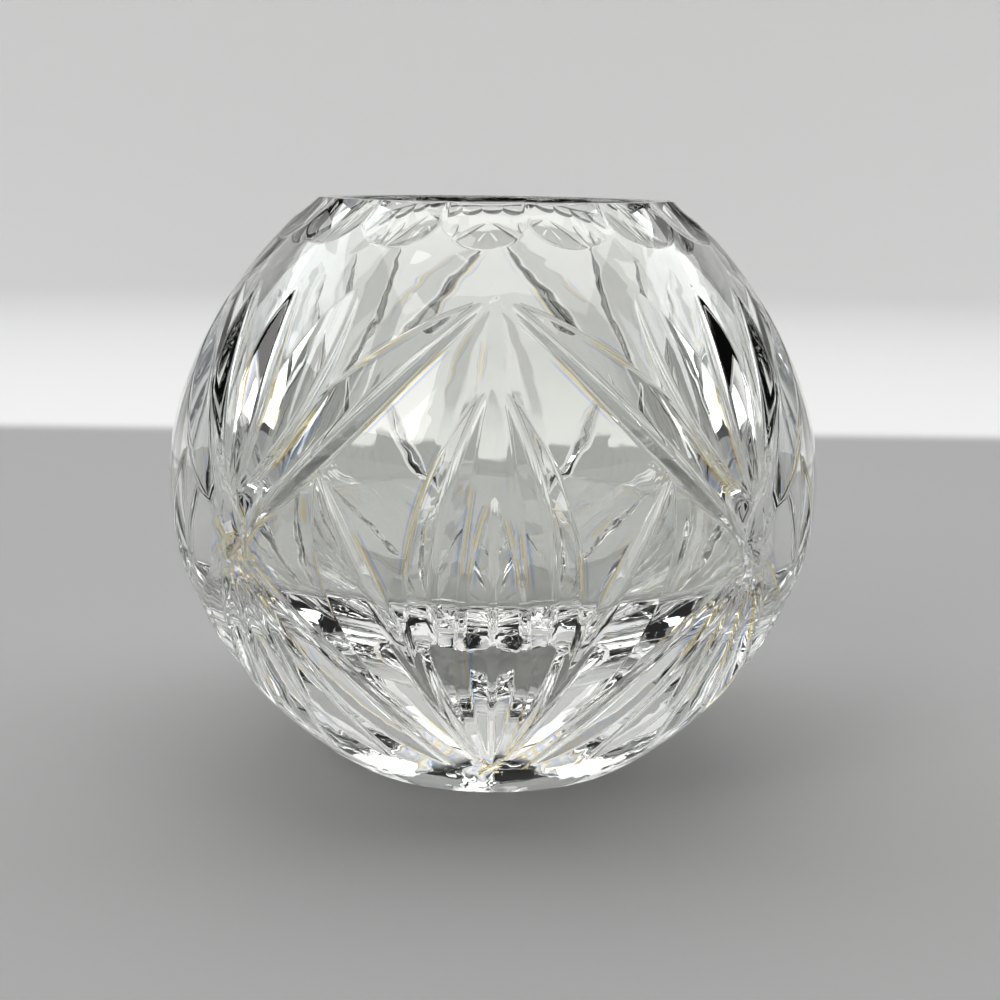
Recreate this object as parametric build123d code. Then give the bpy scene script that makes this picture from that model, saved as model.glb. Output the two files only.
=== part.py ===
from build123d import *
from math import asin, atan2, cos, degrees, radians, sin
import os

# Cut crystal rose bowl: one thick-walled ball of clear glass, open at the top.
# Millimetres, +Z up. The origin is the middle of the foot, on the table.
# The middle of the front diamond faces -Y.

# Bowl body
bowl_radius = 80.0
bowl_height = 138.0
widest_height = 69.5
rim_radius = 43.5
foot_radius = 38.2
belt_arc_radius = 67.0
belt_turn = 21.0

# Inside of the bowl
rim_land = 8.0
belt_wall = 9.5
floor_thickness = 28.0
floor_edge_height = 56.0
floor_corner = 5.0

# Foot and lip
foot_ring_width = 9.0
foot_hollow = 2.0
foot_bevel = 0.8
lip_round = 1.2

# Round thumb cuts under the rim
flute_count = 16
flute_wheel_radius = 38.0
flute_depth = 2.0
flute_drop = 2.1
flute_start_turn = -3.3

# Diamonds and leaves, all cut by a V-edged wheel
diamond_count = 4
deepest_cut = 4.0
widest_facet = 8.5
run_out = 5.0
half_diamond_turn = 180.0 / diamond_count
slope_step_share = 0.001

# A place on the wall is a share of the half diamond's turn, from the diamond's middle line to the
# crossing, and a share of the bowl's height. A cut runs down the wall from its upper end through
# its middle to its lower end. Its depth is a share of the deepest cut, and its two facets are
# shares of the widest facet: the one on the crossing's side, then the one on the diamond's side.
cut_shares = {
    "upper mitre": ((0.01, 0.863), (0.60, 0.672), (1.03, 0.462), 0.95, 0.78, 0.68),
    "crossing mitre": ((0.82, 0.60), (0.95, 0.515), (1.07, 0.43), 0.85, 0.55, 0.50),
    "lower mitre": ((1.06, 0.485), (0.49, 0.256), (-0.01, 0.088), 0.45, 0.21, 0.21),
    "tall leaf": ((0.01, 0.752), (0.21, 0.43), (0.02, 0.10), 0.70, 0.62, 0.68),
    "outer leaf": ((0.62, 0.61), (0.464, 0.435), (0.035, 0.10), 0.72, 0.94, 0.53),
    "fan side": ((0.63, 0.876), (0.735, 0.72), (0.965, 0.55), 0.64, 1.08, 0.42),
    "fan short": ((0.92, 0.715), (0.945, 0.64), (0.975, 0.56), 0.50, 0.25, 0.25),
    "fan small": ((0.78, 0.652), (0.87, 0.60), (0.95, 0.53), 0.45, 0.28, 0.25),
    "skirt side": ((0.965, 0.42), (0.75, 0.21), (0.483, 0.089), 0.70, 0.68, 0.48),
    "skirt long": ((0.93, 0.44), (0.53, 0.222), (0.18, 0.088), 0.60, 0.60, 0.62),
    "skirt short": ((0.965, 0.44), (0.91, 0.40), (0.85, 0.372), 0.40, 0.20, 0.20),
    "skirt small": ((0.93, 0.46), (0.84, 0.40), (0.74, 0.337), 0.40, 0.20, 0.20),
    "centre leaf": ((0.0, 0.594), (0.0, 0.40), (0.0, 0.105), 0.65, 0.66, 0.66),
    "fan middle": ((1.0, 0.874), (1.0, 0.72), (1.0, 0.545), 0.70, 0.62, 0.62),
    "skirt middle": ((1.0, 0.42), (1.0, 0.22), (1.0, 0.072), 0.75, 0.74, 0.74),
}


def tangent_arc_radius(tip_radius, tip_rise):
    # Radius of the arc that leaves the belt arc smoothly and ends at the given edge
    run = tip_radius - (bowl_radius - belt_arc_radius + belt_arc_radius * cos(radians(belt_turn)))
    rise = tip_rise - belt_arc_radius * sin(radians(belt_turn))
    return (run**2 + rise**2) / (-2 * (run * cos(radians(belt_turn)) + rise * sin(radians(belt_turn))))


shoulder_arc_radius = tangent_arc_radius(rim_radius, bowl_height - widest_height)
base_arc_radius = tangent_arc_radius(foot_radius, widest_height)


def wall_radius(height):
    # Outer radius of the uncut bowl at a height
    rise = abs(height - widest_height)
    if rise <= belt_arc_radius * sin(radians(belt_turn)):
        return bowl_radius - belt_arc_radius + (belt_arc_radius**2 - rise**2) ** 0.5
    arc_radius = shoulder_arc_radius if height > widest_height else base_arc_radius
    centre_run = bowl_radius - belt_arc_radius + (belt_arc_radius - arc_radius) * cos(radians(belt_turn))
    centre_rise = (belt_arc_radius - arc_radius) * sin(radians(belt_turn))
    return centre_run + (arc_radius**2 - (rise - centre_rise) ** 2) ** 0.5


def wall_place(turn, height):
    # Point on the uncut wall; turn 0 is the front, -Y, and +X is to the right
    radius = wall_radius(height)
    return Vector(radius * sin(radians(turn)), -radius * cos(radians(turn)), height)


def wall_normal(turn, height):
    step = bowl_height * slope_step_share
    slope = (wall_radius(height + step) - wall_radius(height - step)) / (2 * step)
    return Vector(sin(radians(turn)), -cos(radians(turn)), -slope).normalized()


def wheel_cut(first, middle, last, depth, left_facet, right_facet):
    # The part of a V-edged wheel that cuts one leaf, deepest at its middle.
    # Left and right are seen from outside, on the way from the first place to the last.
    start = wall_place(*first)
    end = wall_place(*last)
    surface = wall_place(*middle)
    normal = wall_normal(*middle)
    bottom = surface - normal * depth

    # Circle of the wheel's edge
    to_start = start - bottom
    to_end = end - bottom
    across = to_start.cross(to_end)
    offset = (to_end * to_start.dot(to_start) - to_start * to_end.dot(to_end)).cross(across)
    centre = bottom + offset * (1 / (2 * across.dot(across)))
    axle = across.normalized() * -1
    edge_radius = (bottom - centre).length

    def on_wheel(point):
        # Distance from the axle and place along it
        arm = point - centre
        along = arm.dot(axle)
        return Vector((arm.dot(arm) - along**2) ** 0.5, along)

    # V section through the bottom and the two sides of the leaf
    aside = normal.cross((end - start).normalized()).normalized()
    root = Vector(edge_radius, 0)
    corners = [root]
    for facet in (left_facet, -right_facet):
        side = surface + aside * facet
        turn = degrees(atan2(side.X, -side.Y))
        slant = on_wheel(wall_place(turn, side.Z)) - root
        corners.append(root + slant * ((slant.length + run_out) / slant.length))

    # Turn the section from just before the first place to just after the last
    spare = degrees(run_out / edge_radius)
    span = 2 * degrees(asin((start - end).length / (2 * edge_radius)))
    outward = (start - centre).normalized()
    section = Plane(origin=centre, x_dir=outward, z_dir=outward.cross(axle))
    face = Face(Wire.make_polygon([section.from_local_coords(corner) for corner in corners], close=True))
    axis = Axis(centre, axle)
    return Solid.revolve(face.rotate(axis, -spare), span + 2 * spare, axis)


def leaf_cuts(shares):
    # One cut and its mirror images in the diamond's middle line and in the crossing's line
    *places, depth_share, crossing_side_share, diamond_side_share = shares
    heights = [place[1] * bowl_height for place in places]
    turns = [place[0] * half_diamond_turn for place in places]
    sides = (crossing_side_share * widest_facet, diamond_side_share * widest_facet)
    depth = depth_share * deepest_cut
    cuts = [wheel_cut(*zip(turns, heights), depth, *sides)]
    for mirror_turn in (0, half_diamond_turn):
        turned = [2 * mirror_turn - turn for turn in turns]
        if turned != turns:
            cuts.append(wheel_cut(*zip(turned, heights), depth, *reversed(sides)))
    return cuts


def half_diamond():
    # One eighth of the solid ball, from a diamond's middle line to a crossing, with its cuts
    belt_rise = belt_arc_radius * sin(radians(belt_turn))
    belt_foot = widest_height - belt_rise
    belt_top = widest_height + belt_rise

    def outline_arc(low, high):
        places = [(wall_radius(height), height) for height in (low, (low + high) / 2, high)]
        return ThreePointArc(*places)

    with BuildPart() as wedge:
        with BuildSketch(Plane(origin=(0, 0, 0), x_dir=(0, -1, 0), z_dir=(-1, 0, 0))):
            with BuildLine():
                Polyline((0, bowl_height), (0, 0), (wall_radius(0), 0))
                outline_arc(0, belt_foot)
                outline_arc(belt_foot, belt_top)
                outline_arc(belt_top, bowl_height)
                Line((wall_radius(bowl_height), bowl_height), (0, bowl_height))
            make_face()
        revolve(axis=Axis.Z, revolution_arc=half_diamond_turn)
    solid = wedge.part
    for shares in cut_shares.values():
        for cut in leaf_cuts(shares):
            solid = solid - cut
    return solid


def cut_ball():
    # The solid ball with all its diamonds
    half = half_diamond()
    diamond = half + mirror(half, about=Plane.YZ)
    turns = [2 * half_diamond_turn * index for index in range(diamond_count)]
    first, *others = [Rot(0, 0, turn) * diamond for turn in turns]
    return first.fuse(*others).clean()


def rim_flutes():
    # Ball-shaped wheel marks that bite into the wall just under the rim
    height = bowl_height - flute_drop
    reach = flute_wheel_radius - flute_depth
    turns = [flute_start_turn + 360 / flute_count * index for index in range(flute_count)]
    centres = [wall_place(turn, height) + wall_normal(turn, height) * reach for turn in turns]
    return [Pos(centre) * Sphere(flute_wheel_radius) for centre in centres]


def inside():
    # The room inside: its wall follows the belt, then curves in to the mouth, over a rounded floor
    mouth = (rim_radius - rim_land, bowl_height)
    wall_arc_radius = belt_arc_radius - belt_wall
    floor_turn = degrees(asin((widest_height - floor_edge_height) / wall_arc_radius))
    with BuildPart() as room:
        with BuildSketch(Plane.XZ):
            with BuildLine():
                belt_middle = (bowl_radius - belt_arc_radius, widest_height)
                wall = CenterArc(belt_middle, wall_arc_radius, -floor_turn, floor_turn + belt_turn)
                TangentArc(wall @ 1, mouth, tangent=wall % 1)
                Polyline(mouth, (0, bowl_height), (0, floor_thickness))
                TangentArc((0, floor_thickness), wall @ 0, tangent=(1, 0))
            make_face()
            fillet(vertices().sort_by(Axis.Y)[1], floor_corner)
        revolve(axis=Axis.Z)
    return room.part


def foot_hollow_cut():
    # Shallow round hollow inside the ring that the bowl stands on
    hollow_radius = foot_radius - foot_ring_width
    ball_radius = (hollow_radius**2 + foot_hollow**2) / (2 * foot_hollow)
    return Pos(0, 0, foot_hollow - ball_radius) * Sphere(ball_radius)


def crystal_bowl():
    # The hollowed ball, its lip and foot softened, and the flutes cut last across the lip
    bowl = cut_ball().cut(inside(), foot_hollow_cut())
    bowl = fillet(bowl.edges().group_by(Axis.Z)[-1], lip_round)
    bowl = chamfer(bowl.edges().group_by(Axis.Z)[0], foot_bevel)
    return bowl.cut(*rim_flutes())


os.makedirs("parts", exist_ok=True)
export_step(crystal_bowl(), "parts/crystal_bowl.step")
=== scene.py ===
import bmesh
import bpy
import numpy as np
from math import asin, atan2, cos, pi, radians, sin
from mathutils import Matrix, Vector


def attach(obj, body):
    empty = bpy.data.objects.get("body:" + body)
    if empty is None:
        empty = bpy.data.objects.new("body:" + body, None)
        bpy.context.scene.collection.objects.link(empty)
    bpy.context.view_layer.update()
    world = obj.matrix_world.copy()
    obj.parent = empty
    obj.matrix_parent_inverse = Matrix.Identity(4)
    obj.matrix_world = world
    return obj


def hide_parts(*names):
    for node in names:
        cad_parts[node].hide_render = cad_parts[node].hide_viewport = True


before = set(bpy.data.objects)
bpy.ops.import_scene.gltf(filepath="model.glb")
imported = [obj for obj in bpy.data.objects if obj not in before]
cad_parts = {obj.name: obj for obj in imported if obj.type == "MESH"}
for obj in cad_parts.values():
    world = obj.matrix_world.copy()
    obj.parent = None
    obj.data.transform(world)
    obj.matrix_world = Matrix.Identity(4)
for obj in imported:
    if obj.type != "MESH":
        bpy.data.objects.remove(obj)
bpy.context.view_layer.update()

mm = 0.001

# Bowl body
bowl_radius = 80.0 * mm
bowl_height = 138.0 * mm
widest_height = 69.5 * mm
rim_radius = 43.5 * mm
foot_radius = 38.2 * mm
belt_arc_radius = 67.0 * mm
belt_turn = radians(21.0)

# Inside of the bowl
rim_land = 8.0 * mm
belt_wall = 9.5 * mm
floor_thickness = 28.0 * mm
floor_edge_height = 56.0 * mm
floor_corner = 5.0 * mm

# Foot and lip
foot_ring_width = 9.0 * mm
foot_hollow = 2.0 * mm
foot_bevel = 0.8 * mm
lip_round = 1.2 * mm

# Round thumb cuts under the rim
flute_count = 16
flute_wheel_radius = 38.0 * mm
flute_depth = 2.0 * mm
flute_drop = 2.1 * mm
flute_start_turn = radians(-3.3)

# Diamonds and leaves, all cut by a V-edged wheel
diamond_count = 4
deepest_cut = 4.0 * mm
widest_facet = 8.5 * mm
run_out = 5.0 * mm
half_diamond_turn = pi / diamond_count

# The places, depth and facets of each cut, as in the solid
cut_shares = {
    "upper mitre": ((0.01, 0.863), (0.60, 0.672), (1.03, 0.462), 0.95, 0.78, 0.68),
    "crossing mitre": ((0.82, 0.60), (0.95, 0.515), (1.07, 0.43), 0.85, 0.55, 0.50),
    "lower mitre": ((1.06, 0.485), (0.49, 0.256), (-0.01, 0.088), 0.45, 0.21, 0.21),
    "tall leaf": ((0.01, 0.752), (0.21, 0.43), (0.02, 0.10), 0.70, 0.62, 0.68),
    "outer leaf": ((0.62, 0.61), (0.464, 0.435), (0.035, 0.10), 0.72, 0.94, 0.53),
    "fan side": ((0.63, 0.876), (0.735, 0.72), (0.965, 0.55), 0.64, 1.08, 0.42),
    "fan short": ((0.92, 0.715), (0.945, 0.64), (0.975, 0.56), 0.50, 0.25, 0.25),
    "fan small": ((0.78, 0.652), (0.87, 0.60), (0.95, 0.53), 0.45, 0.28, 0.25),
    "skirt side": ((0.965, 0.42), (0.75, 0.21), (0.483, 0.089), 0.70, 0.68, 0.48),
    "skirt long": ((0.93, 0.44), (0.53, 0.222), (0.18, 0.088), 0.60, 0.60, 0.62),
    "skirt short": ((0.965, 0.44), (0.91, 0.40), (0.85, 0.372), 0.40, 0.20, 0.20),
    "skirt small": ((0.93, 0.46), (0.84, 0.40), (0.74, 0.337), 0.40, 0.20, 0.20),
    "centre leaf": ((0.0, 0.594), (0.0, 0.40), (0.0, 0.105), 0.65, 0.66, 0.66),
    "fan middle": ((1.0, 0.874), (1.0, 0.72), (1.0, 0.545), 0.70, 0.62, 0.62),
    "skirt middle": ((1.0, 0.42), (1.0, 0.22), (1.0, 0.072), 0.75, 0.74, 0.74),
}

# Softening by the polish: radius of the round in a cut's bottom, and half width of the round on an
# arris between two surfaces at a right angle. A flatter arris has a narrower round
valley_round = 3.0 * mm
arris_round = 2.6 * mm
thinnest_arris = 0.02 * mm

# How the arrises are found: down to this depth below the uncut wall, and with this slack in the
# distance to a cut. Distances are shares of the round's half width: a neighbour is nearer than the
# first share, and none is kept larger than the second
arris_depth = 2 * deepest_cut
arris_slack = 0.05 * mm
arris_near_share = 4.0
arris_far_share = 50.0

# Fineness of the meshes
lathe_steps = 240
wall_steps = 32
room_steps = 20
corner_steps = 10
hollow_steps = 12
lip_steps = 6
cut_steps = 48
valley_steps = 6
flute_rings = 14
flute_spokes = 64
flute_cap_turn = radians(26.0)
same_place = 1e-9

# Face corner and face attributes of the glass
finish_name = "polish"
cut_name = "cut"
arris_names = ("first_arris", "second_arris")

# Wall of the uncut bowl: a belt arc, and a shoulder arc and a base arc that leave it smoothly.
# A turn of 0 is the front, -Y, and +X is to the right

belt_run = bowl_radius - belt_arc_radius
belt_centre = (belt_run, widest_height)


def tangent_arc_radius(arc_radius, tip_radius, tip_rise):
    # Radius of the arc that leaves a belt arc smoothly and ends at the given edge
    run = tip_radius - (belt_run + arc_radius * cos(belt_turn))
    rise = tip_rise - arc_radius * sin(belt_turn)
    return (run**2 + rise**2) / (-2 * (run * cos(belt_turn) + rise * sin(belt_turn)))


shoulder_arc_radius = tangent_arc_radius(belt_arc_radius, rim_radius, bowl_height - widest_height)
base_arc_radius = tangent_arc_radius(belt_arc_radius, foot_radius, widest_height)


def tip_centre(arc_radius, tip_arc_radius):
    # Centre of the arc beyond a belt arc: its distance from the axis, and its rise from the belt's
    step = arc_radius - tip_arc_radius
    return belt_run + step * cos(belt_turn), step * sin(belt_turn)


def wall_arc(height):
    # Radius of the uncut wall, and its outward normal's angle above the horizontal
    rise = abs(height - widest_height)
    side = 1 if height > widest_height else -1
    if rise <= belt_arc_radius * sin(belt_turn):
        centre_run, centre_rise, arc_radius = belt_run, 0.0, belt_arc_radius
    else:
        arc_radius = shoulder_arc_radius if side > 0 else base_arc_radius
        centre_run, centre_rise = tip_centre(belt_arc_radius, arc_radius)
    slope = asin((rise - centre_rise) / arc_radius)
    return centre_run + arc_radius * cos(slope), side * slope


def spun(turn, angle):
    # Direction at an angle above the horizontal, turned round the bowl's axis
    return (sin(turn) * cos(angle), -cos(turn) * cos(angle), sin(angle))


def wall_place(turn, height):
    radius = wall_arc(height)[0]
    return Vector((radius * sin(turn), -radius * cos(turn), height))


def wall_normal(turn, height):
    return Vector(spun(turn, wall_arc(height)[1]))


# Blank: the lathe-turned body before it is cut. Each stretch of its outline is a list of
# (radius, height, outward normal's angle above the horizontal), and starts where the last one ends


def arc_stretch(centre, radius, start, end, steps, inward=False):
    flip = pi if inward else 0.0
    turns = [start + (end - start) * i / steps for i in range(steps + 1)]
    return [(centre[0] + radius * cos(t), centre[1] + radius * sin(t), t + flip) for t in turns]


def flat_stretch(start, end):
    normal = atan2(-(end[0] - start[0]), end[1] - start[1])
    return [(*start, normal), (*end, normal)]


def foot_stretches():
    # From the middle of the hollow, over the ring that the bowl stands on, to the heel of the wall
    hollow_radius = foot_radius - foot_ring_width
    ball_radius = (hollow_radius**2 + foot_hollow**2) / (2 * foot_hollow)
    ball_centre = (0.0, foot_hollow - ball_radius)
    hollow_end = pi / 2 - asin((hollow_radius - foot_bevel) / ball_radius)
    hollow = arc_stretch(ball_centre, ball_radius, pi / 2, hollow_end, hollow_steps, True)
    ring_in = (hollow_radius + foot_bevel, 0.0)
    ring_out = (foot_radius - foot_bevel, 0.0)
    heel = (wall_arc(foot_bevel)[0], foot_bevel)
    ring_inner_edge = flat_stretch(hollow[-1][:2], ring_in)
    return [hollow, ring_inner_edge, flat_stretch(ring_in, ring_out), flat_stretch(ring_out, heel)]


def wall_stretches(shoulder_centre, lip_turn):
    # Base, belt and shoulder, from the heel to the lip
    base_run, base_rise = tip_centre(belt_arc_radius, base_arc_radius)
    base_centre = (base_run, widest_height - base_rise)
    heel_turn = asin((foot_bevel - base_centre[1]) / base_arc_radius)
    return [
        arc_stretch(base_centre, base_arc_radius, heel_turn, -belt_turn, wall_steps),
        arc_stretch(belt_centre, belt_arc_radius, -belt_turn, belt_turn, wall_steps),
        arc_stretch(shoulder_centre, shoulder_arc_radius, belt_turn, lip_turn, wall_steps),
    ]


def lip_centre(arc_centre, reach):
    # Centre of the lip's round, and the direction to it from the arc that the round meets
    height = bowl_height - lip_round
    turn = asin((height - arc_centre[1]) / reach)
    return (arc_centre[0] + reach * cos(turn), height), turn


def circles_cross(first, first_reach, second, second_reach):
    # Where two circles cross, on the side away from the axis and low down
    across = Vector((second[0] - first[0], second[1] - first[1]))
    gap = across.length
    along = (first_reach**2 - second_reach**2 + gap**2) / (2 * gap)
    aside = (first_reach**2 - along**2) ** 0.5
    unit = across / gap
    middle = (first[0] + unit.x * along, first[1] + unit.y * along)
    places = [(middle[0] + side * unit.y * aside, middle[1] - side * unit.x * aside) for side in (-1, 1)]
    return max(places, key=lambda place: place[0] - place[1])


def room_stretches(mouth_centre, mouth_arc_radius, lip_turn):
    # From the lip down the inside: throat, belt, rounded corner and dished floor
    room_arc_radius = belt_arc_radius - belt_wall
    edge_turn = asin((floor_edge_height - widest_height) / room_arc_radius)
    floor_radius = belt_run + room_arc_radius * cos(edge_turn)
    floor_rise = floor_edge_height - floor_thickness
    dish_radius = (floor_radius**2 + floor_rise**2) / (2 * floor_rise)
    dish_centre = (0.0, floor_thickness + dish_radius)
    room_reach, dish_reach = room_arc_radius - floor_corner, dish_radius - floor_corner
    corner = circles_cross(belt_centre, room_reach, dish_centre, dish_reach)
    wall_end = atan2(corner[1] - widest_height, corner[0] - belt_run)
    dish_start = atan2(corner[1] - dish_centre[1], corner[0])
    return [
        arc_stretch(mouth_centre, mouth_arc_radius, lip_turn, belt_turn, room_steps, True),
        arc_stretch(belt_centre, room_arc_radius, belt_turn, wall_end, room_steps, True),
        arc_stretch(corner, floor_corner, wall_end, dish_start, corner_steps, True),
        arc_stretch(dish_centre, dish_radius, dish_start, -pi / 2, room_steps, True),
    ]


def outline():
    # From the middle of the hollow foot, out and up the wall, over the lip and down the inside
    shoulder_run, shoulder_rise = tip_centre(belt_arc_radius, shoulder_arc_radius)
    shoulder_centre = (shoulder_run, widest_height + shoulder_rise)
    outer_lip, outer_turn = lip_centre(shoulder_centre, shoulder_arc_radius - lip_round)

    room_arc_radius = belt_arc_radius - belt_wall
    mouth_rise = bowl_height - widest_height
    mouth_arc_radius = tangent_arc_radius(room_arc_radius, rim_radius - rim_land, mouth_rise)
    throat_run, throat_rise = tip_centre(room_arc_radius, mouth_arc_radius)
    mouth_centre = (throat_run, widest_height + throat_rise)
    inner_lip, inner_turn = lip_centre(mouth_centre, mouth_arc_radius + lip_round)
    return [
        *foot_stretches(),
        *wall_stretches(shoulder_centre, outer_turn),
        arc_stretch(outer_lip, lip_round, outer_turn, pi / 2, lip_steps),
        flat_stretch((outer_lip[0], bowl_height), (inner_lip[0], bowl_height)),
        arc_stretch(inner_lip, lip_round, pi / 2, pi + inner_turn, lip_steps),
        *room_stretches(mouth_centre, mouth_arc_radius, inner_turn),
    ]


def put(name, data):
    # Adds a piece, a lamp or the camera to the scene
    placed = bpy.data.objects.new(name, data)
    bpy.context.scene.collection.objects.link(placed)
    return placed


class Form:
    # A closed form whose corners know the true normal of the curved surface that they lie on, and
    # whose faces know which cut they belong to: 0 for the blank, then one number for each wheel mark
    def __init__(self):
        self.points = []
        self.faces = []
        self.normals = []
        self.cuts = []
        self.cut = 0

    def add(self, places):
        start = len(self.points)
        self.points += [tuple(place) for place in places]
        return list(range(start, len(self.points)))

    def face(self, corners, normals):
        self.faces.append(tuple(corners))
        self.normals += [tuple(normal) for normal in normals]
        self.cuts.append(self.cut)

    def object(self, name):
        mesh = bpy.data.meshes.new(name)
        mesh.from_pydata(self.points, [], self.faces)
        layer = mesh.attributes.new(finish_name, "FLOAT_VECTOR", "CORNER")
        layer.data.foreach_set("vector", np.array(self.normals, float).ravel())
        layer = mesh.attributes.new(cut_name, "INT", "FACE")
        layer.data.foreach_set("value", self.cuts)
        return put(name, mesh)


def blank():
    # The lathe-turned body, each corner with the normal of the smooth outline it lies on
    body = Form()
    turns = [2 * pi * i / lathe_steps for i in range(lathe_steps)]
    foot_middle = body.add([(0, 0, foot_hollow)]) * lathe_steps
    floor_middle = body.add([(0, 0, floor_thickness)]) * lathe_steps
    ring = foot_middle
    for stretch in outline():
        for (*_, near_angle), (radius, height, far_angle) in zip(stretch, stretch[1:]):
            if radius < same_place:
                new_ring = floor_middle
            else:
                new_ring = body.add([(radius * sin(t), -radius * cos(t), height) for t in turns])
            for i, turn in enumerate(turns):
                j = (i + 1) % lathe_steps
                # Corners that fall together on the axis count once
                corners = {
                    ring[i]: spun(turn, near_angle),
                    ring[j]: spun(turns[j], near_angle),
                    new_ring[j]: spun(turns[j], far_angle),
                    new_ring[i]: spun(turn, far_angle),
                }
                body.face(corners.keys(), corners.values())
            ring = new_ring
    return body.object("crystal_bowl_glass")


# The marks of all the cuts, in the order of their numbers. Each tells how far points lie outside
# the cut, and which way the glass that the cut leaves faces there
wheel_marks = []


def new_mark(form, mark):
    # Keeps a mark, and gives its number to the faces that the form gets next
    wheel_marks.append(mark)
    form.cut = len(wheel_marks)


def wheel_mark(centre, axle, outward, tangent, edge_radius, flats, low_turn, high_turn):
    # The mark of a V-edged wheel: of its two flats, the one that a point lies further outside counts
    centre, axle, outward, tangent = (np.array(way) for way in (centre, axle, outward, tangent))
    flats = [(np.array(flat), np.array(flat) @ np.array((edge_radius, 0.0))) for flat in flats]

    def gap(points):
        arm = points - centre
        along = arm @ axle
        run, rise = arm @ outward, arm @ tangent
        reach = np.hypot(run, rise)
        turn = np.arctan2(rise, run)
        away = (outward * run[:, None] + tangent * rise[:, None]) / np.maximum(reach, same_place)[:, None]
        best = np.full(len(points), -np.inf)
        way = np.zeros_like(points)
        for flat, offset in flats:
            # The flat's normal points into the wheel, so outside it the distance is positive
            far = offset - (reach * flat[0] + along * flat[1])
            nearer = far > best
            best[nearer] = far[nearer]
            way[nearer] = (away * flat[0] + axle * flat[1])[nearer]
        best[(turn < low_turn) | (turn > high_turn)] = np.inf
        return best, way

    return gap


def ball_mark(centre, radius):
    # The mark of a ball-shaped wheel
    centre = np.array(centre)

    def gap(points):
        arm = points - centre
        reach = np.linalg.norm(arm, axis=1)
        return reach - radius, -arm / reach[:, None]

    return gap


def wall_mark(points):
    # The uncut wall: how deep points lie below it, and its outward normal there
    radius = np.hypot(points[:, 0], points[:, 1])
    rise = points[:, 2] - widest_height
    deep = np.zeros(len(points))
    way = np.zeros_like(points)
    for side in (1, -1):
        tip_arc = shoulder_arc_radius if side > 0 else base_arc_radius
        tip_run, tip_rise = tip_centre(belt_arc_radius, tip_arc)
        high = rise * side
        on_belt = high <= belt_arc_radius * sin(belt_turn)
        run = radius - np.where(on_belt, belt_run, tip_run)
        up = high - np.where(on_belt, 0.0, tip_rise)
        reach = np.hypot(run, up)
        here = high >= 0
        deep[here] = (np.where(on_belt, belt_arc_radius, tip_arc) - reach)[here]
        lean = run / reach / np.maximum(radius, same_place)
        whole = np.stack((points[:, 0] * lean, points[:, 1] * lean, up / reach * side), 1)
        way[here] = whole[here]
    return deep, way


def edge_circle(start, bottom, end):
    # Centre, axle and radius of the circle through the two ends and the bottom of a cut
    to_start, to_end = start - bottom, end - bottom
    across = to_start.cross(to_end)
    offset = (to_end * to_start.dot(to_start) - to_start * to_end.dot(to_end)).cross(across)
    centre = bottom + offset / (2 * across.dot(across))
    return centre, -across.normalized(), (bottom - centre).length


def v_section(root, first, last):
    # Lines round a wheel's V section, whose root is rounded. Each holds its start, and which way the
    # glass that it leaves faces at its two ends. The flats are the first line and the last but one
    first_way, last_way = (first - root).normalized(), (last - root).normalized()
    half_angle = first_way.angle(last_way) / 2
    middle_way = (first_way + last_way).normalized()
    hub = root + middle_way * (valley_round / sin(half_angle))
    sweep = pi - 2 * half_angle
    places = [(first, None)]
    for i in range(valley_steps + 1):
        turn = sweep * (i / valley_steps - 0.5)
        way = Matrix.Rotation(-turn if middle_way.cross(first_way) < 0 else turn, 2) @ middle_way
        places.append((hub - way * valley_round, way))
    places.append((last, None))

    lines = []
    for (near, near_way), (far, far_way) in zip(places, places[1:] + places[:1]):
        slant = far - near
        flat = Vector((slant.y, -slant.x)).normalized()
        if flat.dot(middle_way) < 0:
            flat = -flat
        rounded = near_way is not None and far_way is not None
        lines.append((near, near_way if rounded else flat, far_way if rounded else flat))
    return lines


def wheel_cut(tool, first, middle, last, depth, left_facet, right_facet):
    # Adds the part of a V-edged wheel that cuts one leaf, deepest at its middle. Left and right are
    # seen from outside, on the way from the first place to the last
    start, end, surface = wall_place(*first), wall_place(*last), wall_place(*middle)
    normal = wall_normal(*middle)
    centre, axle, edge_radius = edge_circle(start, surface - normal * depth, end)

    def on_wheel(point):
        # Distance from the axle and place along it
        arm = point - centre
        along = arm.dot(axle)
        return Vector(((arm.dot(arm) - along**2) ** 0.5, along))

    aside = normal.cross((end - start).normalized()).normalized()
    root = Vector((edge_radius, 0.0))
    corners = []
    for facet in (left_facet, -right_facet):
        side = surface + aside * facet
        slant = on_wheel(wall_place(atan2(side.x, -side.y), side.z)) - root
        corners.append(root + slant * ((slant.length + run_out) / slant.length))
    lines = v_section(root, *corners)

    # The section turns about the axle, from just before the first place to just after the last
    spare = run_out / edge_radius
    span = 2 * asin((start - end).length / (2 * edge_radius))
    turns = [-spare + (span + 2 * spare) * i / cut_steps for i in range(cut_steps + 1)]
    outward = (start - centre).normalized()
    tangent = axle.cross(outward)

    def placed(pair, turn):
        return (outward * cos(turn) + tangent * sin(turn)) * pair[0] + axle * pair[1]

    flats = [lines[0][1], lines[-2][1]]
    mark = wheel_mark(centre, axle, outward, tangent, edge_radius, flats, turns[0], turns[-1])
    new_mark(tool, mark)
    count = len(lines)
    rings = [tool.add([centre + placed(line[0], turn) for line in lines]) for turn in turns]
    for low_turn, high_turn, low, high in zip(turns, turns[1:], rings, rings[1:]):
        for k, (_, near_way, far_way) in enumerate(lines):
            m = (k + 1) % count
            low_ways = placed(near_way, low_turn), placed(far_way, low_turn)
            high_ways = placed(far_way, high_turn), placed(near_way, high_turn)
            tool.face((low[k], low[m], high[m], high[k]), (*low_ways, *high_ways))
    tool.face(rings[0][::-1], [tangent] * count)
    tool.face(rings[-1], [tangent] * count)


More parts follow.
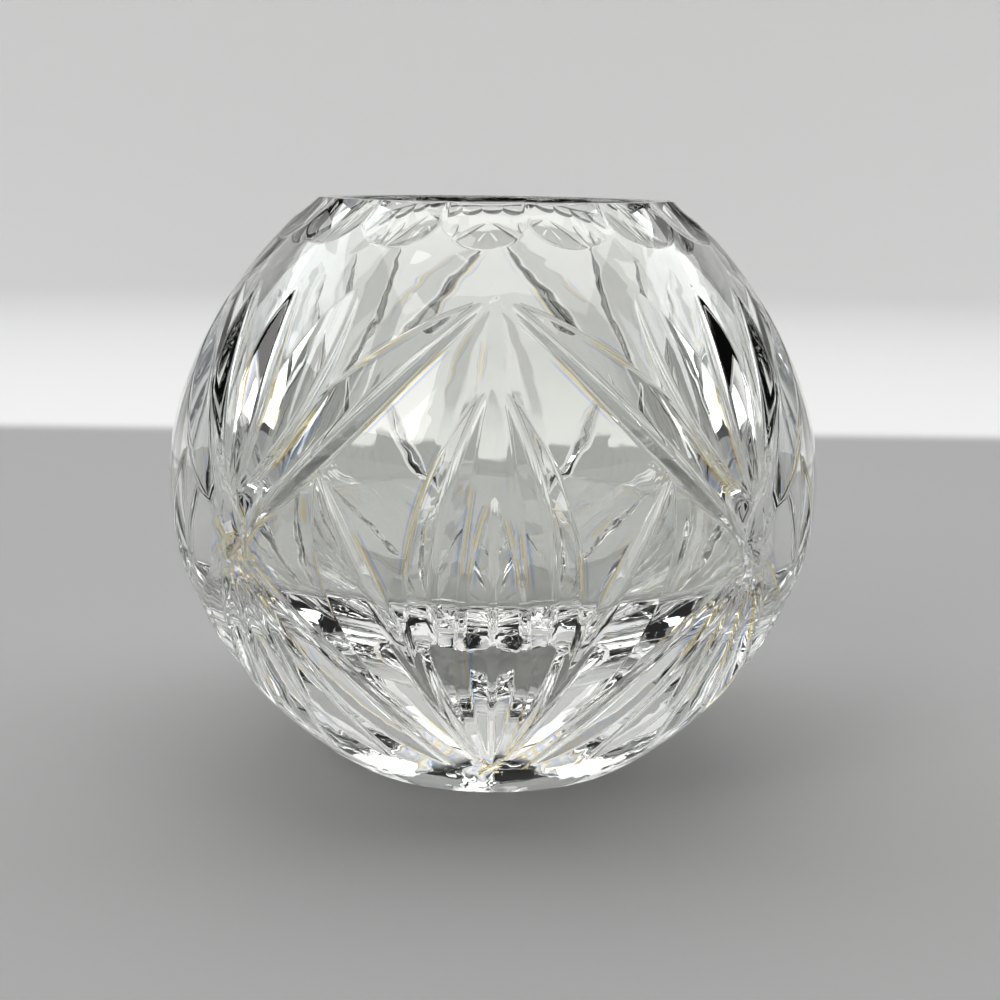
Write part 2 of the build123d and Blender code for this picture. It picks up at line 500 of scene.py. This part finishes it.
def ball_cut(tool, turn):
    # Adds the round wheel mark of one flute: the lowest cap of a ball, closed at the ball's middle
    height = bowl_height - flute_drop
    inward = -wall_normal(turn, height)
    centre = wall_place(turn, height) - inward * (flute_wheel_radius - flute_depth)
    side = inward.orthogonal().normalized()
    other = inward.cross(side)
    new_mark(tool, ball_mark(centre, flute_wheel_radius))
    hub = tool.add([centre])[0]
    tip = tool.add([centre + inward * flute_wheel_radius])[0]
    spokes = [2 * pi * i / flute_spokes for i in range(flute_spokes)]
    rings = []
    for k in range(1, flute_rings + 1):
        polar = flute_cap_turn * k / flute_rings
        ways = [inward * cos(polar) + (side * cos(a) + other * sin(a)) * sin(polar) for a in spokes]
        rings.append((tool.add([centre + way * flute_wheel_radius for way in ways]), ways))
    for i in range(flute_spokes):
        j = (i + 1) % flute_spokes
        ring, ways = rings[0]
        tool.face((tip, ring[j], ring[i]), (-inward, -ways[j], -ways[i]))
        for (low, low_ways), (high, high_ways) in zip(rings, rings[1:]):
            ends = (low[i], low[j], high[j], high[i])
            tool.face(ends, (-low_ways[i], -low_ways[j], -high_ways[j], -high_ways[i]))
        ring, ways = rings[-1]
        tool.face((ring[i], ring[j], hub), (inward, inward, inward))


def leaf_tools():
    # One tool for each kind of cut and one for its mirror image, with the copies round the bowl
    for name, shares in cut_shares.items():
        *places, depth_share, crossing_side_share, diamond_side_share = shares
        heights = [place[1] * bowl_height for place in places]
        depth = depth_share * deepest_cut
        facets = (crossing_side_share * widest_facet, diamond_side_share * widest_facet)
        # A straight cut on a line of symmetry is its own mirror image
        hands = [1] if places[0][0] == places[1][0] else [1, -1]
        for hand in hands:
            tool = Form()
            for index in range(diamond_count):
                base_turn = 2 * half_diamond_turn * index
                turns = [base_turn + hand * place[0] * half_diamond_turn for place in places]
                wheel_cut(tool, *zip(turns, heights), depth, *facets[::hand])
            yield tool.object(name.replace(" ", "_"))


def flute_tools():
    # Neighbouring flutes overlap, so they are shared out over two tools
    for start in (0, 1):
        tool = Form()
        for index in range(start, flute_count, 2):
            ball_cut(tool, flute_start_turn + 2 * pi * index / flute_count)
        yield tool.object("flutes")


def outward_faces(piece):
    # Turns every face of a closed mesh outwards
    work = bmesh.new()
    work.from_mesh(piece.data)
    bmesh.ops.recalc_face_normals(work, faces=work.faces)
    work.to_mesh(piece.data)
    work.free()


def cut_crystal():
    bowl = blank()
    outward_faces(bowl)
    for tool in [*leaf_tools(), *flute_tools()]:
        outward_faces(tool)
        cut = bowl.modifiers.new("cut", "BOOLEAN")
        cut.operation = "DIFFERENCE"
        cut.solver = "MANIFOLD"
        cut.object = tool
        with bpy.context.temp_override(object=bowl, active_object=bowl):
            bpy.ops.object.modifier_apply(modifier=cut.name)
        bpy.data.objects.remove(tool)
    return bowl


def listed(items, name, each=1, kind=float):
    # A value of every item, or each item's row of values
    values = np.zeros(len(items) * each, kind)
    items.foreach_get(name, values)
    return values.reshape(-1, each) if each > 1 else values


def corner_ways(mesh):
    ways = listed(mesh.attributes[finish_name].data, "vector", 3)
    return ways / np.linalg.norm(ways, axis=1)[:, None]


def polished_normals(bowl):
    # Shades each face with the normals of the curved surface that it belongs to
    mesh = bowl.data
    mesh.polygons.foreach_set("use_smooth", [True] * len(mesh.polygons))
    mesh.normals_split_custom_set([tuple(way) for way in corner_ways(mesh)])


def soft_arrises(bowl):
    # Where two cuts meet, or a cut meets the plain wall, the polish has rounded the arris.
    # Each face corner learns its two nearest other surfaces: their normals, and how far off they
    # are as a share of the round's half width
    mesh = bowl.data
    count = len(mesh.polygons)
    corners = listed(mesh.vertices, "co", 3)[listed(mesh.loops, "vertex_index", kind=int)]
    totals = listed(mesh.polygons, "loop_total", kind=int)
    starts = np.concatenate(([0], np.cumsum(totals)[:-1]))
    own = np.repeat(listed(mesh.attributes[cut_name].data, "value", kind=int), totals)
    ways = corner_ways(mesh)
    near_wall = wall_mark(corners)[0] < arris_depth

    nearest = [np.full(count, arris_near_share) for name in arris_names]
    gaps = [np.full(len(corners), arris_near_share) for name in arris_names]
    turned = [ways.copy() for name in arris_names]
    for cut, mark in enumerate([wall_mark, *wheel_marks]):
        picked = near_wall & (own != cut)
        far, way = np.full(len(corners), np.inf), ways.copy()
        far[picked], way[picked] = mark(corners[picked])
        bend = np.arccos(np.clip((way * ways).sum(1), -1, 1))
        width = np.maximum(arris_round * np.tan(bend / 2) * np.sin(bend), thinnest_arris)
        share = np.where(far > -arris_slack, np.maximum(far, 0) / width, np.inf)
        share = np.minimum(share, arris_far_share)
        mean = np.add.reduceat(share, starts) / totals

        # A nearer surface than the first pushes that one to second place
        first = mean < nearest[0]
        second = ~first & (mean < nearest[1])
        pushed, placed = np.repeat(first, totals), np.repeat(second, totals)
        nearest[1] = np.where(first, nearest[0], np.where(second, mean, nearest[1]))
        gaps[1] = np.where(pushed, gaps[0], np.where(placed, share, gaps[1]))
        turned[1] = np.where(pushed[:, None], turned[0], np.where(placed[:, None], way, turned[1]))
        nearest[0] = np.where(first, mean, nearest[0])
        gaps[0] = np.where(pushed, share, gaps[0])
        turned[0] = np.where(pushed[:, None], way, turned[0])

    for name, gap, way in zip(arris_names, gaps, turned):
        layer = mesh.attributes.new(name + "_gap", "FLOAT", "CORNER")
        layer.data.foreach_set("value", gap)
        layer = mesh.attributes.new(name + "_way", "FLOAT_VECTOR", "CORNER")
        layer.data.foreach_set("vector", way.ravel())


# Looks


class Tree:
    # Shorthand for adding nodes: each input is given a value or the output that feeds it
    def __init__(self, owner):
        owner.use_nodes = True
        self.nodes = owner.node_tree.nodes
        self.links = owner.node_tree.links
        self.nodes.clear()

    def add(self, kind, inputs, **settings):
        node = self.nodes.new("ShaderNode" + kind)
        for name, value in settings.items():
            setattr(node, name, value)
        for name, value in inputs.items():
            if isinstance(value, bpy.types.NodeSocket):
                self.links.new(value, node.inputs[name])
            else:
                node.inputs[name].default_value = value
        return node

    def ramp(self, value, first, last, low=0.0, high=1.0, **settings):
        # Turns a value that runs from first to last into one that runs from low to high
        inputs = {"Value": value, "From Min": first, "From Max": last, "To Min": low, "To Max": high}
        return self.add("MapRange", inputs, **settings).outputs["Result"]

    def soft_ramp(self, *values):
        return self.ramp(*values, interpolation_type="SMOOTHERSTEP")

    def maths(self, operation, *values):
        return self.add("Math", dict(enumerate(values)), operation=operation).outputs[0]

    def vectors(self, operation, *values):
        return self.add("VectorMath", dict(enumerate(values)), operation=operation).outputs["Vector"]

    def scaled(self, vector, factor):
        inputs = {0: vector, "Scale": factor}
        return self.add("VectorMath", inputs, operation="SCALE").outputs["Vector"]

    def blend(self, factor, first, second):
        inputs = {"Factor": factor, "A": first, "B": second}
        return self.add("Mix", inputs, data_type="RGBA").outputs["Result"]

    def stored(self, name, output):
        return self.add("Attribute", {}, attribute_name=name).outputs[output]

    def bands(self, value, stops):
        node = self.add("ValToRGB", {"Fac": value})
        first, *middle, last = stops
        for element, (place, colour) in zip(node.color_ramp.elements, (first, last)):
            element.position, element.color = place, colour
        for place, colour in middle:
            node.color_ramp.elements.new(place).color = colour
        return node.outputs["Color"]


# Crystal: its tint, its refraction and the faint ripple of its surface
crystal_tint = (0.985, 0.99, 0.965, 1.0)
crystal_ior = 1.545
ripple_scale = 45.0
ripple_detail = 3.0
ripple_roughness = 0.42
ripple_depth = 0.28 * mm

# Painted colour fringes: yellow, orange and blue bands painted into the glass colour beside an arris, in
# place of the light that cut crystal splits there; placed in widths of its round, in patches below the
# rim
fringe_reach_share = 0.42
painted_fringe_yellow = (1.0, 0.86, 0.30, 1.0)
painted_fringe_orange = (1.0, 0.60, 0.28, 1.0)
painted_fringe_blue = (0.35, 0.52, 1.0, 1.0)
painted_fringe_stops = [
    (0.10, crystal_tint),
    (0.26, painted_fringe_yellow),
    (0.40, painted_fringe_orange),
    (0.52, crystal_tint),
    (0.68, painted_fringe_blue),
    (0.90, crystal_tint),
]
fringe_patch_scale = 50.0
fringe_patch_start = 0.53
fringe_patch_full = 0.60
fringe_full_height_share = 0.80
fringe_end_height_share = 0.85


def softened_normal(tree):
    # The surface's own normal, turned towards its two nearest neighbours where the polish has
    # rounded the arris: half way at the arris itself, not at all beyond the round
    faced = tree.add("NewGeometry", {})
    own_share = 1.0
    others = None
    for name in arris_names:
        share = tree.ramp(tree.stored(name + "_gap", "Fac"), 0.0, 1.0, 0.5, 0.0)
        lean = tree.scaled(tree.stored(name + "_way", "Vector"), share)
        own_share = tree.maths("SUBTRACT", own_share, share)
        others = tree.vectors("ADD", others, lean) if others else lean
    # The stored normals point out of the glass, and the surface's own faces the ray
    side = tree.ramp(faced.outputs["Backfacing"], 0.0, 1.0, 1.0, -1.0)
    own = tree.scaled(faced.outputs["Normal"], own_share)
    return tree.vectors("NORMALIZE", tree.vectors("ADD", own, tree.scaled(others, side)))


def painted_fringe_colour(tree, place):
    # Painted light: the yellow, orange and blue into which cut crystal splits the light beside its
    # arrises, painted into the glass colour
    gap = tree.maths("MULTIPLY", tree.stored(arris_names[0] + "_gap", "Fac"), fringe_reach_share)
    patches = tree.add("TexNoise", {"Vector": place, "Scale": fringe_patch_scale, "Detail": 0.0})
    patch = tree.ramp(patches.outputs["Fac"], fringe_patch_start, fringe_patch_full)
    height = tree.add("SeparateXYZ", {0: place}).outputs["Z"]
    fade_start = bowl_height * fringe_full_height_share
    fade_end = bowl_height * fringe_end_height_share
    below_rim = tree.ramp(height, fade_start, fade_end, 1.0, 0.0)
    strength = tree.maths("MULTIPLY", patch, below_rim)
    # The painted colour fringes of split light, mixed into the glass colour
    return tree.blend(strength, crystal_tint, tree.bands(gap, painted_fringe_stops))


def clear_crystal():
    # Polished crystal with soft arrises, painted colour fringes and a faint ripple
    material = bpy.data.materials.new("clear_crystal")
    tree = Tree(material)
    place = tree.add("TexCoord", {}).outputs["Object"]
    noise = {
        "Vector": place,
        "Scale": ripple_scale,
        "Detail": ripple_detail,
        "Roughness": ripple_roughness,
    }
    ripple = {
        "Strength": 1.0,
        "Distance": ripple_depth,
        "Height": tree.add("TexNoise", noise).outputs["Fac"],
        "Normal": softened_normal(tree),
    }
    glass = {
        # Glass colour carrying the painted colour fringes of split light
        "Base Color": painted_fringe_colour(tree, place),
        "IOR": crystal_ior,
        "Transmission Weight": 1.0,
        "Roughness": 0.0,
        "Normal": tree.add("Bump", ripple).outputs["Normal"],
    }
    shader = tree.add("BsdfPrincipled", glass).outputs["BSDF"]
    tree.add("OutputMaterial", {"Surface": shader})
    return material


# Studio: a pale grey table with a straight back edge in front of a paler sweep, whose sides and
# front, the surround, are grey. Places are metres from the bowl's axis

table_colour = (0.39, 0.39, 0.385, 1.0)
sweep_colour = (0.88, 0.875, 0.865, 1.0)
surround_colour = (0.48, 0.48, 0.475, 1.0)
table_roughness = 0.6
table_specular = 0.2
table_edge = 0.46
table_edge_softness = 0.05
surround_start = 0.85
surround_full = 1.15
surround_front_share = 1.2
sweep_reach = 2.2
sweep_rise = 0.7
sweep_steps = 30
sweep_spokes = 96
table_drop = 0.1 * mm

# Walls of the studio, as the world: pale low down behind, dark overhead, at the sides and in front
wall_tone = 0.9
overhead_tone = 0.06
wall_back_lean = -0.45
wall_side_lean = 0.55
wall_start = 0.35
wall_end = 0.62

# Lamps: place, width and height in metres, power in watts and colour
lamps = {
    "window_left": ((-1.5, 0.5, 1.15), 1.2, 1.0, 9.0, (0.92, 0.97, 1.0)),
    "window_right": ((1.5, 0.5, 1.15), 1.2, 1.0, 9.0, (0.95, 0.98, 1.0)),
    "window_front": ((-0.9, -1.1, 1.2), 0.6, 0.8, 6.0, (1.0, 0.99, 0.97)),
    "ceiling": ((0.0, 0.3, 1.9), 2.2, 2.2, 29.0, (1.0, 1.0, 1.0)),
}

# Crystal needs a few more inner reflections than the usual four
inner_reflections = 6

# Camera at the photograph's viewing angle
camera_focal = 57.2
camera_place = (1.78 * mm, -392.9 * mm, 146.1 * mm)
camera_pitch = radians(11.92)
camera_roll = radians(0.79)
camera_yaw = radians(-0.51)


def pale_floor():
    material = bpy.data.materials.new("pale_floor")
    tree = Tree(material)
    place = tree.add("TexCoord", {}).outputs["Object"]
    parts = tree.add("SeparateXYZ", {0: place}).outputs
    behind = tree.soft_ramp(parts["Y"], table_edge, table_edge + table_edge_softness)
    aside = tree.maths("ABSOLUTE", parts["X"])
    beyond = tree.maths("MAXIMUM", aside, tree.maths("MULTIPLY", parts["Y"], -surround_front_share))
    around = tree.soft_ramp(beyond, surround_start, surround_full)
    colour = tree.blend(around, tree.blend(behind, table_colour, sweep_colour), surround_colour)
    paint = {"Base Color": colour, "Roughness": table_roughness, "Specular IOR Level": table_specular}
    tree.add("OutputMaterial", {"Surface": tree.add("BsdfPrincipled", paint).outputs["BSDF"]})
    return material


def floor():
    # A round sweep: flat under the bowl, curving up far away on all sides
    turns = [2 * pi * i / sweep_spokes for i in range(sweep_spokes)]
    points = [(0.0, 0.0, -table_drop)]
    for i in range(sweep_steps + 1):
        bend = pi / 2 * i / sweep_steps
        radius = sweep_reach - sweep_rise + sweep_rise * sin(bend)
        height = sweep_rise - sweep_rise * cos(bend) - table_drop
        points += [(radius * sin(turn), -radius * cos(turn), height) for turn in turns]
    faces = []
    for i in range(sweep_spokes):
        j = (i + 1) % sweep_spokes
        faces.append((0, 1 + i, 1 + j))
        for k in range(sweep_steps):
            low, high = 1 + k * sweep_spokes, 1 + (k + 1) * sweep_spokes
            faces.append((low + i, high + i, high + j, low + j))
    sweep = bpy.data.meshes.new("floor")
    sweep.from_pydata(points, [], faces)
    sweep.polygons.foreach_set("use_smooth", [True] * len(faces))
    sweep.materials.append(pale_floor())
    put("floor", sweep)


def studio():
    world = bpy.data.worlds.new("studio")
    bpy.context.scene.world = world
    tree = Tree(world)
    way = tree.add("TexCoord", {}).outputs["Generated"]
    parts = tree.add("SeparateXYZ", {0: way}).outputs
    back = tree.maths("MULTIPLY_ADD", parts["Y"], wall_back_lean, parts["Z"])
    place = tree.maths("MULTIPLY_ADD", tree.maths("ABSOLUTE", parts["X"]), wall_side_lean, back)
    tone = tree.soft_ramp(place, wall_start, wall_end, wall_tone, overhead_tone)
    light = tree.add("Background", {"Color": tone}).outputs["Background"]
    tree.add("OutputWorld", {"Surface": light})

    aim = Vector((0.0, 0.0, bowl_height / 2))
    for name, (place, width, height, power, colour) in lamps.items():
        lamp = bpy.data.lights.new(name, "AREA")
        lamp.shape = "RECTANGLE"
        lamp.size, lamp.size_y = width, height
        lamp.energy = power
        lamp.color = colour
        piece = put(name, lamp)
        piece.location = place
        piece.rotation_euler = (aim - Vector(place)).to_track_quat("-Z", "Y").to_euler()


def camera():
    lens = bpy.data.cameras.new("camera")
    lens.lens = camera_focal
    piece = put("camera", lens)
    turn = Matrix.Rotation(camera_yaw, 4, "Z")
    tilt = Matrix.Rotation(pi / 2 - camera_pitch, 4, "X")
    roll = Matrix.Rotation(camera_roll, 4, "Z")
    piece.matrix_world = turn @ Matrix.Translation(camera_place) @ tilt @ roll
    bpy.context.scene.camera = piece


bowl = cut_crystal()
polished_normals(bowl)
soft_arrises(bowl)
bowl.data.materials.clear()
bowl.data.materials.append(clear_crystal())
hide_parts("crystal_bowl")
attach(bowl, "root")

floor()
studio()
camera()
bpy.context.scene.view_settings.view_transform = "Standard"
bpy.context.scene.cycles.glossy_bounces = inner_reflections
